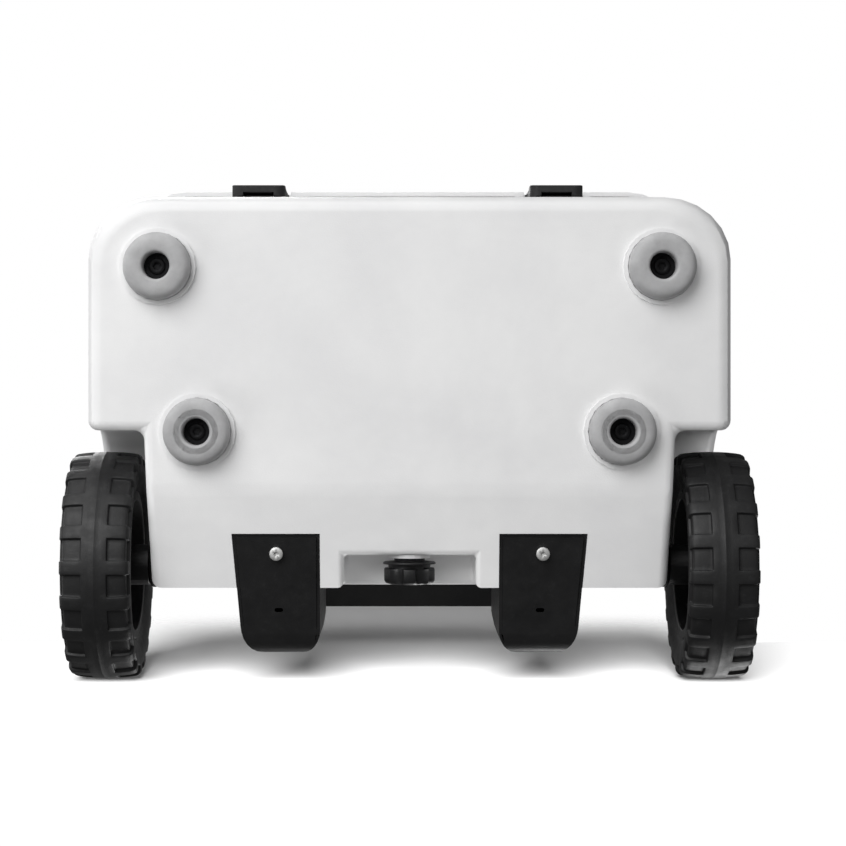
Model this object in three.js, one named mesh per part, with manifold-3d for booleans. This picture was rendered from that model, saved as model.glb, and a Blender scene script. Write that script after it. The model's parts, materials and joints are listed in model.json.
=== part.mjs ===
// A hard-shell cooler on two wheels, with a three-stage pull handle. Millimetres, +Z up.
// +X is to the right seen from the front, the front faces -Y, and z = 0 is the ground.

import * as THREE from 'three';
import { mergeVertices } from 'three/addons/utils/BufferGeometryUtils.js';
import Module from 'manifold-3d';

const wasm = await Module();
wasm.setup();

// Clearances
const gap = 0.3; // between two pieces that rest on each other or slide in each other
const cutOver = 20; // how far a cutting tool runs past what it cuts

// Body, outside
const bodyWidth = 558; // at the rim
const bodyFrontTop = -215.7; // y of the front face at the rim
const bodyRearTop = 150;
const rimHeight = 455; // rim above the ground
const groundClearance = 18; // underside above the ground
const sideDraft = 19; // how far each face leans in from the rim to the underside
const frontDraft = 44.7;
const rearDraft = 5;
const frontCornerRadius = 58;
const rearCornerRadius = 34;
const shellWall = 4.5;
const bottomEdgeRadius = 12;
const slopeLength = 80; // of the underside that rises to the rear
const slopeRise = 0.22; // rise for each millimetre to the rear

// Cavity
const linerWall = 3.5;
const cavityFloor = 58; // z of the floor inside
const sideInsulation = 43;
const frontInsulation = 40;
const rearInsulation = 44;
const cavityCornerRadius = 40;
const flangeThickness = 4;
const wellInsulation = 34; // between a wheel well and the cavity
const sumpDepth = 18;
const sumpHalfWidth = 22;
const sumpLength = 42;

// Wheels
const wheelRadius = 95;
const wheelWidth = 56.6;
const axleInset = 15; // in front of the body's rear face
const wheelSideGap = 14; // from the well's wall to the tyre
const wellClearance = 18; // around the tyre
const wellDepth = 45; // into the body's side, at the front of the well
const wellFlare = 5; // deeper at the rear
const tyreDepth = 33; // from the tread to the hub
const rimWall = 7;
const rimHalfWidth = 24;
const spokeCount = 8;
const spokeThickness = 7;
const spokeHalfWidth = 13;
const bossRadius = 17;
const bushRadius = 9;
const axleRadius = 6;
const axleHeadRadius = 12;
const capRadius = 26;
const axlePlateRadius = 30;
const axlePlateThickness = 5;

// Feet
const footRadius = 27.25;
const footHoleRadius = 9.2;
const footRingWidth = 3.3;
const footRingHeight = 3.5;
const footInsetX = 57; // from the body's side, front feet
const footInsetY = 56; // from the body's front, front feet
const rearFootInsetX = 44; // from the well's wall, rear feet
const footScrewRadius = 3;
const footScrewHeadRadius = 7;

// Lid
const lidGap = 3; // between the rim and the lid
const lidHeight = 62;
const lidOverhang = 5.1; // past the body's front, at the lid's lower edge
const lidFlare = 4.2; // further out at the shoulder
const lidShoulder = 22; // height of the rounded top edge
const lidWall = 4.5;
const lidPlugDepth = 14; // how far the lid's underside goes into the cavity
const lidPlugClearance = 6;
const gasketWidth = 10;
const gasketInset = 8; // from the cavity's edge

// Hinge
const hingeSetback = 2; // axis behind the body's rear face
const knuckleRadius = 8;
const hingePinRadius = 2.5;
const knuckleStart = 160; // x of the first knuckle
const outerKnuckleWidth = 18;
const knuckleRootLength = 26; // from the axis
const knuckleRootSlope = 9;
const hingeWebDrop = 13; // web below the axis, clear of the lid's knuckle as it turns
const lidKnuckleWidth = 40;

// Latches
const latchX = 146; // middle of a latch from the middle of the body
const latchWidth = 52;
const latchPocketMargin = 3; // beside a latch
const latchPocketFloor = 6.5; // depth behind the body's front face at the rim
const latchPivotHeight = 33; // above the rim
const latchPivotDepth = 0.7; // behind the body's front face at the rim
const latchLength = 88; // from its pin to its tip
const latchBarrelRadius = 6.2;
const latchPinRadius = 2.2;
const latchPinGrip = 5; // length of pin held in the lid at each end
const keeperHalfWidth = 14;
const keeperHeight = 12;
const keeperThickness = 4.5;
const latchProud = 6.3; // tip of a latch in front of the rim
const latchBladeProud = 3.8; // the rest of its blade

// Side grips
const gripScoopDepth = 17;
const gripScoopTop = 30; // below the rim
const gripScoopHeight = 85;
const gripScoopHalfLength = 60;
const gripScoopY = -35;

// Drain
const drainHeight = 50;
const notchHalfWidth = 54;
const notchDepth = 27; // from the rear face
const notchTop = 76;
const drainBore = 7.5;
const drainTubeWall = 2;
const drainFlangeRadius = 17;
const drainFlangeThickness = 3;
const plugRadius = 21.75;
const plugLobes = 8;
const plugLobeDepth = 1.3;
const plugHeadLength = 15.5;
const drainGasketThickness = 2.4;

// Pull handle
const gripLift = 1.6; // grip above its housing
const tubeX = 108; // middle of a tube from the middle of the body
const tubeSetback = 12; // middle of the tubes behind the body's rear face at the rim
const tubeWidth = 34;
const tubeDepth = 22;
const tubeWall = 1.5;
const tubeCorner = 8;
const tubeBottom = 60;
const bootTop = 190;
const bootInner = 35; // from the middle of the tube to the boot's inner side
const bootOuter = 36;
const bootOuterRear = 30;
const bootReach = 44; // of its plate, under the body from the rear face
const bootDepth = 50; // behind the rear face, at its foot
const bootDepthTop = 27; // and at its top
const bootPlateThickness = 5;
const bootProud = 1.5;
const bootScrewInset = 16; // from the plate's front edge
const bootScrewRadius = 2.3;
const bootScrewHeadRadius = 5.6;
const weepSlotLength = 7;
const weepSlotWidth = 3.5;
const housingEndInner = 28; // from the middle of the tube to the end block's inner side
const housingEndOuter = 32;
const housingDrop = 47; // top of the end blocks below the rim
const housingHeight = 36;
const housingBarHeight = 24; // of the bar between the end blocks
const housingDepth = 38; // behind the rear face
const housingScrewX = 60;
const housingScrewRadius = 2.3;
const gripHeight = 34.4;
const gripBarHeight = 24;
const buttonLength = 38;
const buttonWidth = 15;
const buttonHeight = 9;
const buttonProud = 2.5; // above the grip
const buttonTravel = 4;
const springRadius = 4;
const springWire = 0.6;
const springTurns = 4;

// Heights and places worked out from the sizes above
const bodyHalfTop = bodyWidth / 2;
const bodyHalfBottom = bodyHalfTop - sideDraft;
const bodyFrontBottom = bodyFrontTop + frontDraft;
const bodyRearBottom = bodyRearTop - rearDraft;
const slopeStart = bodyRearBottom - slopeLength;
const wheelY = bodyRearBottom - axleInset;
const wellFrontY = wheelY - wheelRadius - wellClearance;
const wellHalfFront = bodyHalfBottom - wellDepth;
const wellHalfRear = wellHalfFront - wellFlare;
const rimRadius = wheelRadius - tyreDepth;
const wellLength = bodyRearBottom - wellFrontY;
const wellWallAtAxle = wellHalfFront - (wellHalfFront - wellHalfRear) * (wheelY - wellFrontY) / wellLength;
const tyreInnerX = wellWallAtAxle + wheelSideGap;
const wheelX = tyreInnerX + wheelWidth / 2;
const lidBottom = rimHeight + lidGap;
const lidTop = lidBottom + lidHeight;
const hingeY = bodyRearTop + hingeSetback;
const hingeZ = rimHeight + lidGap / 2;
const latchPivotY = bodyFrontTop + latchPivotDepth;
const latchPivotZ = rimHeight + latchPivotHeight;
const latchPocketHalf = latchWidth / 2 + latchPocketMargin;
const latchPocketY = bodyFrontTop + latchPocketFloor;
const tubeY = bodyRearTop + tubeSetback;
const frontFootY = bodyFrontBottom + footInsetY;
const rearFootY = wellFrontY + 1;
const bootInnerX = tubeX - bootInner;
const bootOuterX = tubeX + bootOuter;
const bootOuterXRear = tubeX + bootOuterRear;
const bootFrontY = bodyRearBottom - bootReach;
const bootRearY = bodyRearBottom + bootDepth;
const bootRearTopY = bodyRearTop + bootDepthTop;
const bootScrewY = bootFrontY + bootScrewInset;
const housingInnerX = tubeX - housingEndInner;
const housingHalfWidth = tubeX + housingEndOuter;
const housingTop = rimHeight - housingDrop;
const housingBottom = housingTop - housingHeight;
const housingBarTop = housingBottom + housingBarHeight;
const housingRear = bodyRearTop + housingDepth;
const gripBottom = housingTop + gripLift;
const gripTop = gripBottom + gripHeight;
const gripBarBottom = gripTop - gripBarHeight;
const notchY = bodyRearBottom - notchDepth;

// --- Making and joining solids ---------------------------------------------------------------

function solid(geometry) {
  const bare = geometry.clone();
  bare.deleteAttribute('normal');
  bare.deleteAttribute('uv');
  const merged = mergeVertices(bare, 1e-4);
  const points = merged.getAttribute('position').array;
  const index = merged.getIndex().array;
  const kept = [];
  let volume = 0;
  for (let i = 0; i < index.length; i += 3) {
    const [a, b, c] = [index[i], index[i + 1], index[i + 2]];
    if (a === b || b === c || c === a) continue;
    kept.push(a, b, c);
    const pa = new THREE.Vector3().fromArray(points, 3 * a);
    const pb = new THREE.Vector3().fromArray(points, 3 * b);
    const pc = new THREE.Vector3().fromArray(points, 3 * c);
    volume += pa.dot(pb.cross(pc));
  }
  if (volume < 0) kept.reverse();
  const mesh = new wasm.Mesh({
    numProp: 3,
    vertProperties: new Float32Array(points),
    triVerts: new Uint32Array(kept),
  });
  return new wasm.Manifold(mesh);
}

function join(first, ...others) {
  return others.reduce((sum, other) => sum.add(other), first);
}

function cut(first, ...tools) {
  return tools.reduce((rest, tool) => rest.subtract(tool), first);
}

function geometryOf(piece) {
  const mesh = piece.getMesh();
  const geometry = new THREE.BufferGeometry();
  geometry.setAttribute('position', new THREE.BufferAttribute(new Float32Array(mesh.vertProperties), 3));
  geometry.setIndex(new THREE.BufferAttribute(new Uint32Array(mesh.triVerts), 1));
  return geometry;
}

function mirrored(piece) {
  return solid(geometryOf(piece).scale(-1, 1, 1));
}

function moved(piece, x, y, z) {
  return solid(geometryOf(piece).translate(x, y, z));
}

function bothSides(make) {
  const right = make();
  return [right, mirrored(right)];
}

// --- Basic forms -----------------------------------------------------------------------------

function box(x0, x1, y0, y1, z0, z1) {
  const block = new THREE.BoxGeometry(x1 - x0, y1 - y0, z1 - z0);
  return solid(block.translate((x0 + x1) / 2, (y0 + y1) / 2, (z0 + z1) / 2));
}

function prismGeometry(outline, from, to, curveSegments) {
  const prism = new THREE.ExtrudeGeometry(outline, { depth: to - from, bevelEnabled: false, curveSegments });
  return prism.translate(0, 0, from);
}

// The outline is drawn in x and y, and the prism runs along Z.
function prismZ(outline, from, to, curveSegments = 2) {
  return solid(prismGeometry(outline, from, to, curveSegments));
}

// The outline is drawn in y and z, and the prism runs along X.
function prismX(outline, from, to, curveSegments = 2) {
  const turn = new THREE.Matrix4().makeBasis(
    new THREE.Vector3(0, 1, 0), new THREE.Vector3(0, 0, 1), new THREE.Vector3(1, 0, 0));
  return solid(prismGeometry(outline, from, to, curveSegments).applyMatrix4(turn));
}

// The outline is drawn in x and z, and the prism runs along Y.
function prismY(outline, from, to, curveSegments = 2) {
  return solid(prismGeometry(outline, -to, -from, curveSegments).rotateX(Math.PI / 2));
}

function polygon(points) {
  return new THREE.Shape(points.map(([a, b]) => new THREE.Vector2(a, b)));
}

function roundedRectangle(a0, a1, b0, b1, radii) {
  const [r0, r1, r2, r3] = Array.isArray(radii) ? radii : [radii, radii, radii, radii];
  const outline = new THREE.Shape();
  outline.moveTo(a0 + r0, b0);
  outline.lineTo(a1 - r1, b0);
  outline.absarc(a1 - r1, b0 + r1, r1, -Math.PI / 2, 0);
  outline.lineTo(a1, b1 - r2);
  outline.absarc(a1 - r2, b1 - r2, r2, 0, Math.PI / 2);
  outline.lineTo(a0 + r3, b1);
  outline.absarc(a0 + r3, b1 - r3, r3, Math.PI / 2, Math.PI);
  outline.lineTo(a0, b0 + r0);
  outline.absarc(a0 + r0, b0 + r0, r0, Math.PI, 1.5 * Math.PI);
  return outline;
}

// Turned pieces: each point is a radius and a place along the axis.
function turned(profile, segments) {
  return new THREE.LatheGeometry(profile.map(([r, h]) => new THREE.Vector2(r, h)), segments);
}

function turnedX(profile, segments = 24) {
  return solid(turned(profile, segments).rotateZ(-Math.PI / 2));
}

function turnedY(profile, segments = 24) {
  return solid(turned(profile, segments));
}

function turnedZ(profile, segments = 24) {
  return solid(turned(profile, segments).rotateX(Math.PI / 2));
}

function rod(radius, from, to) {
  return [[0, from], [radius, from], [radius, to], [0, to]];
}

function ring(inner, outer, from, to) {
  return [[inner, from], [outer, from], [outer, to], [inner, to], [inner, from]];
}

// A block whose outline changes from level to level; each level gives z and its four extents.
function levelBlock(frontRadius, rearRadius, levels, curveSegments = 3) {
  const base = levels.reduce((widest, level) => (level.half > widest.half ? level : widest));
  const outline = roundedRectangle(-base.half, base.half, base.front, base.rear,
    [frontRadius, frontRadius, rearRadius, rearRadius]);
  const steps = levels.length - 1;
  const block = new THREE.ExtrudeGeometry(outline, { depth: steps, steps, bevelEnabled: false, curveSegments });
  const place = block.getAttribute('position');
  for (let i = 0; i < place.count; i += 1) {
    const level = levels[Math.round(place.getZ(i))];
    const along = (place.getY(i) - base.front) / (base.rear - base.front);
    place.setXYZ(i, place.getX(i) * level.half / base.half,
      level.front + along * (level.rear - level.front), level.z);
  }
  return solid(block);
}

// --- Body outline ----------------------------------------------------------------------------

function bodyLevel(z, inset) {
  const t = (z - groundClearance) / (rimHeight - groundClearance);
  return {
    z,
    half: bodyHalfBottom + t * (bodyHalfTop - bodyHalfBottom) - inset,
    front: bodyFrontBottom + t * (bodyFrontTop - bodyFrontBottom) + inset,
    rear: bodyRearBottom + t * (bodyRearTop - bodyRearBottom) - inset,
  };
}

function rearFaceAt(z) {
  return bodyLevel(z, 0).rear;
}

function slopeAt(y) {
  return groundClearance + Math.max(0, y - slopeStart) * slopeRise;
}

// The body's outer form, pulled in all round by the inset; it runs up to the given height.
function bodyBlock(inset, top) {
  const bottom = groundClearance + inset;
  const r = bottomEdgeRadius;
  const levels = [
    bodyLevel(bottom, inset + r),
    bodyLevel(bottom + 0.08 * r, inset + 0.6 * r),
    bodyLevel(bottom + 0.3 * r, inset + 0.28 * r),
    bodyLevel(bottom + r, inset),
    bodyLevel(top, inset),
  ];
  return levelBlock(frontCornerRadius - inset, rearCornerRadius - inset, levels);
}

// What is taken off or out of the body's outer form, each grown by a wall's thickness.
function underSlope(grow) {
  const farY = bodyRearTop + cutOver + 30;
  const rise = slopeRise * (farY - slopeStart);
  const lift = grow * Math.hypot(1, slopeRise);
  const z = groundClearance;
  return prismX(polygon([
    [slopeStart - cutOver, z - cutOver], [farY, z - cutOver],
    [farY, z + rise + lift], [slopeStart - cutOver, z - slopeRise * cutOver + lift],
  ]), -bodyHalfTop, bodyHalfTop);
}

function wheelWells(grow) {
  const radius = wheelRadius + wellClearance + grow;
  const farY = bodyRearTop + cutOver + 40;
  const outline = new THREE.Shape();
  outline.moveTo(wheelY - radius, -cutOver);
  outline.lineTo(farY, -cutOver);
  outline.lineTo(farY, wheelRadius + radius);
  outline.lineTo(wheelY, wheelRadius + radius);
  outline.absarc(wheelY, wheelRadius, radius, Math.PI / 2, Math.PI);
  return bothSides(() => {
    const geometry = geometryOf(prismX(outline, 0, bodyHalfTop + cutOver, 6));
    const place = geometry.getAttribute('position');
    for (let i = 0; i < place.count; i += 1) {
      if (place.getX(i) > 1) continue;
      const t = (place.getY(i) - wellFrontY) / wellLength;
      place.setX(i, wellHalfFront - t * (wellHalfFront - wellHalfRear) - grow);
    }
    return solid(geometry);
  });
}

function drainNotch(grow) {
  return prismX(polygon([
    [notchY - grow, -cutOver], [bodyRearTop + cutOver, -cutOver],
    [bodyRearTop + cutOver, notchTop + grow], [notchY - grow, notchTop + grow],
  ]), -notchHalfWidth - grow, notchHalfWidth + grow);
}

function bootOutline(grow) {
  const outline = new THREE.Shape();
  outline.moveTo(bootInnerX - grow, bootFrontY - grow);
  outline.lineTo(bootOuterX + grow, bootFrontY - grow);
  outline.lineTo(bootOuterXRear + grow, bootRearY - 18);
  outline.absarc(bootOuterXRear + grow - 18, bootRearY - 18 + grow, 18, 0, Math.PI / 2);
  outline.lineTo(bootInnerX + 15, bootRearY + grow);
  outline.absarc(bootInnerX - grow + 15, bootRearY + grow - 15, 15, Math.PI / 2, Math.PI);
  return outline;
}

function bootRecesses(grow) {
  const depth = bootPlateThickness - bootProud + gap + grow;
  const farY = bodyRearTop + cutOver;
  const slab = prismX(polygon([
    [bootFrontY - gap - grow, 0], [farY, 0],
    [farY, slopeAt(farY) + depth], [bootFrontY - gap - grow, slopeAt(bootFrontY - gap - grow) + depth],
  ]), 0, bodyHalfTop);
  return bothSides(() => slab.intersect(prismZ(bootOutline(gap + grow), 0, bodyHalfTop)));
}

function latchPockets(grow, sideWall, bottom, top, floorY) {
  const outline = roundedRectangle(latchX - latchPocketHalf - sideWall, latchX + latchPocketHalf + sideWall,
    bottom - grow, top + grow, 4);
  return bothSides(() => prismY(outline, bodyFrontTop - cutOver, floorY + grow, 3));
}

function sideScoops(grow) {
  const top = rimHeight - gripScoopTop + grow;
  const level = bodyLevel(rimHeight - gripScoopTop, 0);
  const bottomHalf = bodyLevel(top - gripScoopHeight, 0).half;
  const outline = polygon([
    [level.half - gripScoopDepth - grow, top],
    [level.half - gripScoopDepth - grow, top - 14],
    [bottomHalf - grow, top - gripScoopHeight],
    [bodyHalfTop + cutOver, top - gripScoopHeight],
    [bodyHalfTop + cutOver, top],
  ]);
  const reach = gripScoopHalfLength + grow;
  return bothSides(() => prismY(outline, gripScoopY - reach, gripScoopY + reach));
}

function hingeRod(radius, from, to) {
  return moved(turnedX(rod(radius, from, to), 16), 0, hingeY, hingeZ);
}

const lidKnuckleStart = knuckleStart + outerKnuckleWidth + gap;
const lidKnuckleEnd = lidKnuckleStart + lidKnuckleWidth;
const knuckleEnd = lidKnuckleEnd + gap + outerKnuckleWidth;

function lidKnuckleReliefs(grow) {
  const reach = knuckleRadius + 0.8 + grow;
  return bothSides(() => hingeRod(reach, lidKnuckleStart - gap - grow, lidKnuckleEnd + gap + grow));
}

function bodyKnuckles(grow) {
  return bothSides(() => hingeRod(knuckleRadius + grow, knuckleStart - grow, knuckleEnd + grow));
}

function lidKnuckles(grow) {
  return bothSides(() => hingeRod(knuckleRadius + grow, lidKnuckleStart - grow, lidKnuckleEnd + grow));
}

function bodyKnuckleReliefs(grow) {
  const reach = knuckleRadius + 0.8 + grow;
  return [
    ...bothSides(() => hingeRod(reach, knuckleStart - gap - grow, lidKnuckleStart + grow)),
    ...bothSides(() => hingeRod(reach, lidKnuckleEnd - grow, knuckleEnd + gap + grow)),
  ];
}

function bodyFeatures(grow) {
  return [
    underSlope(grow),
    ...wheelWells(grow),
    drainNotch(grow),
    ...bootRecesses(grow),
    ...latchPockets(grow, grow, latchPivotZ - latchLength - 4, rimHeight + cutOver, latchPocketY),
    ...sideScoops(grow),
    ...lidKnuckleReliefs(grow),
  ];
}

// A knuckle is a barrel with a root against the rear wall; side is -1 for one that stands on
// the body, below the axis, and 1 for one that hangs from the lid, above it.
function knuckle(side, from, to) {
  const outline = new THREE.Shape();
  const back = hingeY + knuckleRadius;
  const front = bodyRearTop + gap;
  outline.moveTo(front, hingeZ);
  outline.lineTo(front, hingeZ + side * knuckleRootLength);
  outline.lineTo(back - knuckleRootSlope, hingeZ + side * (knuckleRootLength - 4));
  outline.lineTo(back, hingeZ + side * 9);
  outline.lineTo(back, hingeZ);
  return join(prismX(outline, from, to), hingeRod(knuckleRadius, from, to));
}

// --- Cavity ----------------------------------------------------------------------------------

function cavityLevel(z, grow) {
  const outer = bodyLevel(z, 0);
  return {
    z,
    half: outer.half - sideInsulation + grow,
    front: outer.front + frontInsulation - grow,
    rear: outer.rear - rearInsulation + grow,
  };
}

// The space inside, grown by the liner's wall where its outside is wanted.
function cavity(grow, top) {
  const floor = cavityFloor - grow;
  const main = levelBlock(cavityCornerRadius + grow, cavityCornerRadius + grow, [
    cavityLevel(floor, grow - 8), cavityLevel(floor + 3, grow - 2.5),
    cavityLevel(floor + 10, grow), cavityLevel(top, grow),
  ]);
  const wellTop = 2 * wheelRadius + wellClearance + wellInsulation - grow;
  const wellFront = wheelY - wheelRadius - wellClearance - wellInsulation + grow;
  const wellSide = wellHalfRear - wellInsulation + grow;
  const steps = bothSides(() => box(wellSide, bodyHalfTop, wellFront, bodyRearTop, 0, wellTop));
  const sumpRear = cavityLevel(cavityFloor + 10, 0).rear;
  const sump = box(-sumpHalfWidth - grow, sumpHalfWidth + grow, sumpRear - sumpLength - grow,
    sumpRear + grow, cavityFloor - sumpDepth - grow, cavityFloor + 12);
  return join(cut(main, ...steps), sump);
}

// --- Places that several pieces share --------------------------------------------------------

const footPlaces = {
  foot_front_left: [-(bodyHalfBottom - footInsetX), frontFootY],
  foot_front_right: [bodyHalfBottom - footInsetX, frontFootY],
  foot_rear_left: [-(wellHalfFront - rearFootInsetX), rearFootY],
  foot_rear_right: [wellHalfFront - rearFootInsetX, rearFootY],
};

function axleRod(radius, from, to) {
  return moved(turnedX(rod(radius, from, to), 24), 0, wheelY, wheelRadius);
}

const axleBossReach = 24; // from the well's wall into the insulation
const axleBossRadius = 19;

function axleBosses(grow) {
  return bothSides(() => axleRod(axleBossRadius + grow, wellWallAtAxle - axleBossReach - grow, wellWallAtAxle));
}

function drainRod(radius, from, to) {
  const place = turnedY(rod(radius, from, to), 24);
  return moved(place, 0, 0, drainHeight);
}

function hingePinBore() {
  return hingeRod(hingePinRadius + gap, knuckleStart - 2, knuckleEnd + 2);
}

// The two knuckles of one side and the web that joins them below the lid's knuckle.
function makeHingeBlock() {
  const inner = knuckle(-1, knuckleStart, knuckleStart + outerKnuckleWidth);
  const outer = knuckle(-1, lidKnuckleEnd + gap, knuckleEnd);
  const back = hingeY + knuckleRadius;
  const front = bodyRearTop + gap;
  const web = prismX(polygon([
    [front, hingeZ - knuckleRootLength], [back - knuckleRootSlope, hingeZ - knuckleRootLength + 4],
    [back - 3, hingeZ - hingeWebDrop], [front, hingeZ - hingeWebDrop],
  ]), knuckleStart, knuckleEnd);
  return cut(join(inner, web, outer), hingePinBore());
}

function makeLidHingeBlock() {
  return cut(knuckle(1, lidKnuckleStart, lidKnuckleEnd), hingePinBore());
}

// --- Body pieces -----------------------------------------------------------------------------

function makeOuterShell() {
  const outside = cut(bodyBlock(0, rimHeight), ...bodyFeatures(0));
  const inside = cut(bodyBlock(shellWall, rimHeight + cutOver), ...bodyFeatures(shellWall), ...axleBosses(0));
  let shell = cut(outside, inside);
  for (const [x, y] of Object.values(footPlaces)) {
    const collar = ring(footRadius + gap, footRadius + gap + footRingWidth,
      groundClearance - footRingHeight, groundClearance + 1);
    shell = shell.add(moved(turnedZ(collar, 20), x, y, 0));
    shell = shell.subtract(moved(turnedZ(rod(footScrewRadius + gap, 0, groundClearance + 10), 12), x, y, 0));
  }
  const axleBores = bothSides(() => axleRod(axleRadius + gap, wellWallAtAxle - axleBossReach + 4,
    wellWallAtAxle + cutOver));
  const drainBoreHole = drainRod(drainBore + drainTubeWall + gap, notchY - 2 * shellWall, notchY + 5);
  return cut(shell, ...bodyKnuckles(gap), ...axleBores, drainBoreHole, ...bootScrewHoles(), ...housingScrewHoles());
}

function bootScrewHole() {
  const hole = turnedZ(rod(bootScrewRadius + gap, -12, 14), 12);
  return moved(hole, tubeX, bootScrewY, slopeAt(bootScrewY));
}

function bootScrewHoles() {
  return bothSides(bootScrewHole);
}

function housingScrewHoles() {
  const z = (housingBottom + housingBarTop) / 2;
  const hole = turnedY(rod(housingScrewRadius + gap, bodyRearTop - 12, housingRear + 10), 12);
  return bothSides(() => moved(hole, housingScrewX, 0, z));
}

function makeLiner() {
  const rim = rimHeight;
  const flange = levelBlock(frontCornerRadius - shellWall, rearCornerRadius - shellWall, [
    bodyLevel(rim - flangeThickness, shellWall + gap), bodyLevel(rim, shellWall + gap),
  ]);
  const wall = join(cavity(linerWall, rim - 1),
    cut(flange, ...bodyFeatures(shellWall + gap), ...bodyKnuckles(gap)));
  const drainHole = drainRod(drainBore + drainTubeWall + gap, notchY - 40, notchY);
  return cut(wall, cavity(0, rim + cutOver), drainHole);
}

function makeFoamCore() {
  const inset = shellWall + gap;
  const block = cut(bodyBlock(inset, rimHeight - flangeThickness - gap), ...bodyFeatures(inset),
    ...axleBosses(gap), ...bodyKnuckles(gap), cavity(linerWall + gap, rimHeight + cutOver));
  const screwHoles = Object.values(footPlaces).map(([x, y]) =>
    moved(turnedZ(rod(footScrewRadius + gap, 0, groundClearance + 18), 12), x, y, 0));
  const drainHole = drainRod(drainBore + drainTubeWall + gap, notchY - 40, notchY);
  return cut(block, ...screwHoles, drainHole, ...bootScrewHoles(), ...housingScrewHoles());
}

// --- Lid pieces ------------------------------------------------------------------------------

function lidLevel(z, inset) {
  const rim = bodyLevel(rimHeight, inset);
  const t = Math.min(1, (z - lidBottom) / (lidTop - lidShoulder - lidBottom));
  return { z, half: rim.half, front: rim.front - lidOverhang - t * lidFlare, rear: rim.rear };
}

function lidBlock(inset, bottom) {
  const top = lidTop - inset;
  return levelBlock(frontCornerRadius - inset, rearCornerRadius - inset, [
    lidLevel(bottom, inset), lidLevel(top - lidShoulder, inset), lidLevel(top - 10, inset + 3),
    lidLevel(top - 3, inset + 10), lidLevel(top, inset + 24),
  ]);
}

function lidFeatures(grow, sideWall) {
  const pocketTop = latchPivotZ + 17;
  return [
    ...latchPockets(grow, sideWall, rimHeight - cutOver, pocketTop, latchPivotY + latchBarrelRadius + 1),
    ...bodyKnuckleReliefs(grow),
  ];
}

const latchPocketSideWall = latchPinGrip + 4;

function latchPinRod(radius, reach) {
  const pin = turnedX(rod(radius, -reach, reach), 16);
  return moved(pin, latchX, latchPivotY, latchPivotZ);
}

function makeLidOuter() {
  const outside = cut(lidBlock(0, lidBottom), ...lidFeatures(0, 0));
  const inside = cut(lidBlock(lidWall, lidBottom - cutOver), ...lidFeatures(lidWall, latchPocketSideWall));
  const pinHoles = bothSides(() => latchPinRod(latchPinRadius + gap, latchPocketHalf + latchPinGrip + gap));
  return cut(outside, inside, ...pinHoles, ...lidKnuckles(gap));
}

function plugBlock(grow, bottom, top) {
  const clear = lidPlugClearance - grow;
  const rim = cavityLevel(rimHeight, -clear);
  const low = { ...cavityLevel(rimHeight, -clear - 3), z: bottom };
  return levelBlock(cavityCornerRadius - clear, cavityCornerRadius - clear, [
    low, { ...rim, z: bottom + 4 }, { ...rim, z: top },
  ]);
}

const lidInnerThickness = 3.5;

function makeLidInner() {
  const inset = lidWall + gap;
  const sheet = levelBlock(frontCornerRadius - inset, rearCornerRadius - inset, [
    lidLevel(lidBottom, inset), lidLevel(lidBottom + lidInnerThickness, inset),
  ]);
  const flat = cut(sheet, ...lidFeatures(inset, latchPocketSideWall + gap), ...lidKnuckles(gap));
  const pan = plugBlock(0, rimHeight - lidPlugDepth, lidBottom + lidInnerThickness);
  const hollow = plugBlock(-lidInnerThickness, rimHeight - lidPlugDepth + lidInnerThickness, lidBottom + cutOver);
  return cut(join(flat, pan), hollow);
}

function makeLidFoam() {
  const inset = lidWall + gap;
  const upper = cut(lidBlock(inset, lidBottom + lidInnerThickness + gap),
    ...lidFeatures(inset, latchPocketSideWall + gap), ...lidKnuckles(gap));
  const lower = plugBlock(-lidInnerThickness - gap, rimHeight - lidPlugDepth + lidInnerThickness + gap,
    lidBottom + lidInnerThickness + 2);
  return join(upper, lower);
}

function makeLidGasket() {
  const outer = cavityLevel(rimHeight, gasketInset + gasketWidth);
  const inner = cavityLevel(rimHeight, gasketInset);
  const [low, high] = [rimHeight + gap, lidBottom - gap];
  const radius = cavityCornerRadius + gasketInset;
  const outerBlock = levelBlock(radius + gasketWidth, radius + gasketWidth,
    [{ ...outer, z: low }, { ...outer, z: high }]);
  const innerBlock = levelBlock(radius, radius,
    [{ ...inner, z: low - cutOver }, { ...inner, z: high + cutOver }]);
  return cut(outerBlock, innerBlock);
}

// --- Latches ---------------------------------------------------------------------------------

const keeperZ = latchPivotZ - latchLength + 10; // lowest point of a keeper

// Drawn about its own pin: -Y is outwards and the tip hangs below.
function makeLatch() {
  const back = latchPocketY - latchPivotY - gap - 0.4;
  const face = bodyFrontTop - latchBladeProud - latchPivotY;
  const tip = bodyFrontTop - latchProud - latchPivotY;
  const side = new THREE.Shape();
  side.moveTo(back, -4);
  side.lineTo(back, -latchLength + 2);
  side.lineTo(back - 2, -latchLength);
  side.lineTo(tip + 2, -latchLength);
  side.lineTo(tip, -latchLength + 3);
  side.lineTo(tip, -latchLength + 12);
  side.lineTo(face, -latchLength + 30);
  side.lineTo(face, -3);
  side.absarc(0, 0, latchBarrelRadius, 1.1 * Math.PI, 0, true);
  const half = latchWidth / 2;
  const blade = prismX(side, -half, half, 5);
  const front = prismY(roundedRectangle(-half, half, -latchLength, latchBarrelRadius + 1, [9, 9, 3, 3]),
    tip - 1, 20, 3);
  const groove = box(-keeperHalfWidth - 1, keeperHalfWidth + 1, back - keeperThickness - 0.7, back + 30,
    -latchLength - 5, keeperZ - latchPivotZ + keeperHeight + 4);
  const bore = turnedX(rod(latchPinRadius + gap, -half - 1, half + 1), 16);
  return cut(blade.intersect(front), groove, bore);
}

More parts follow.
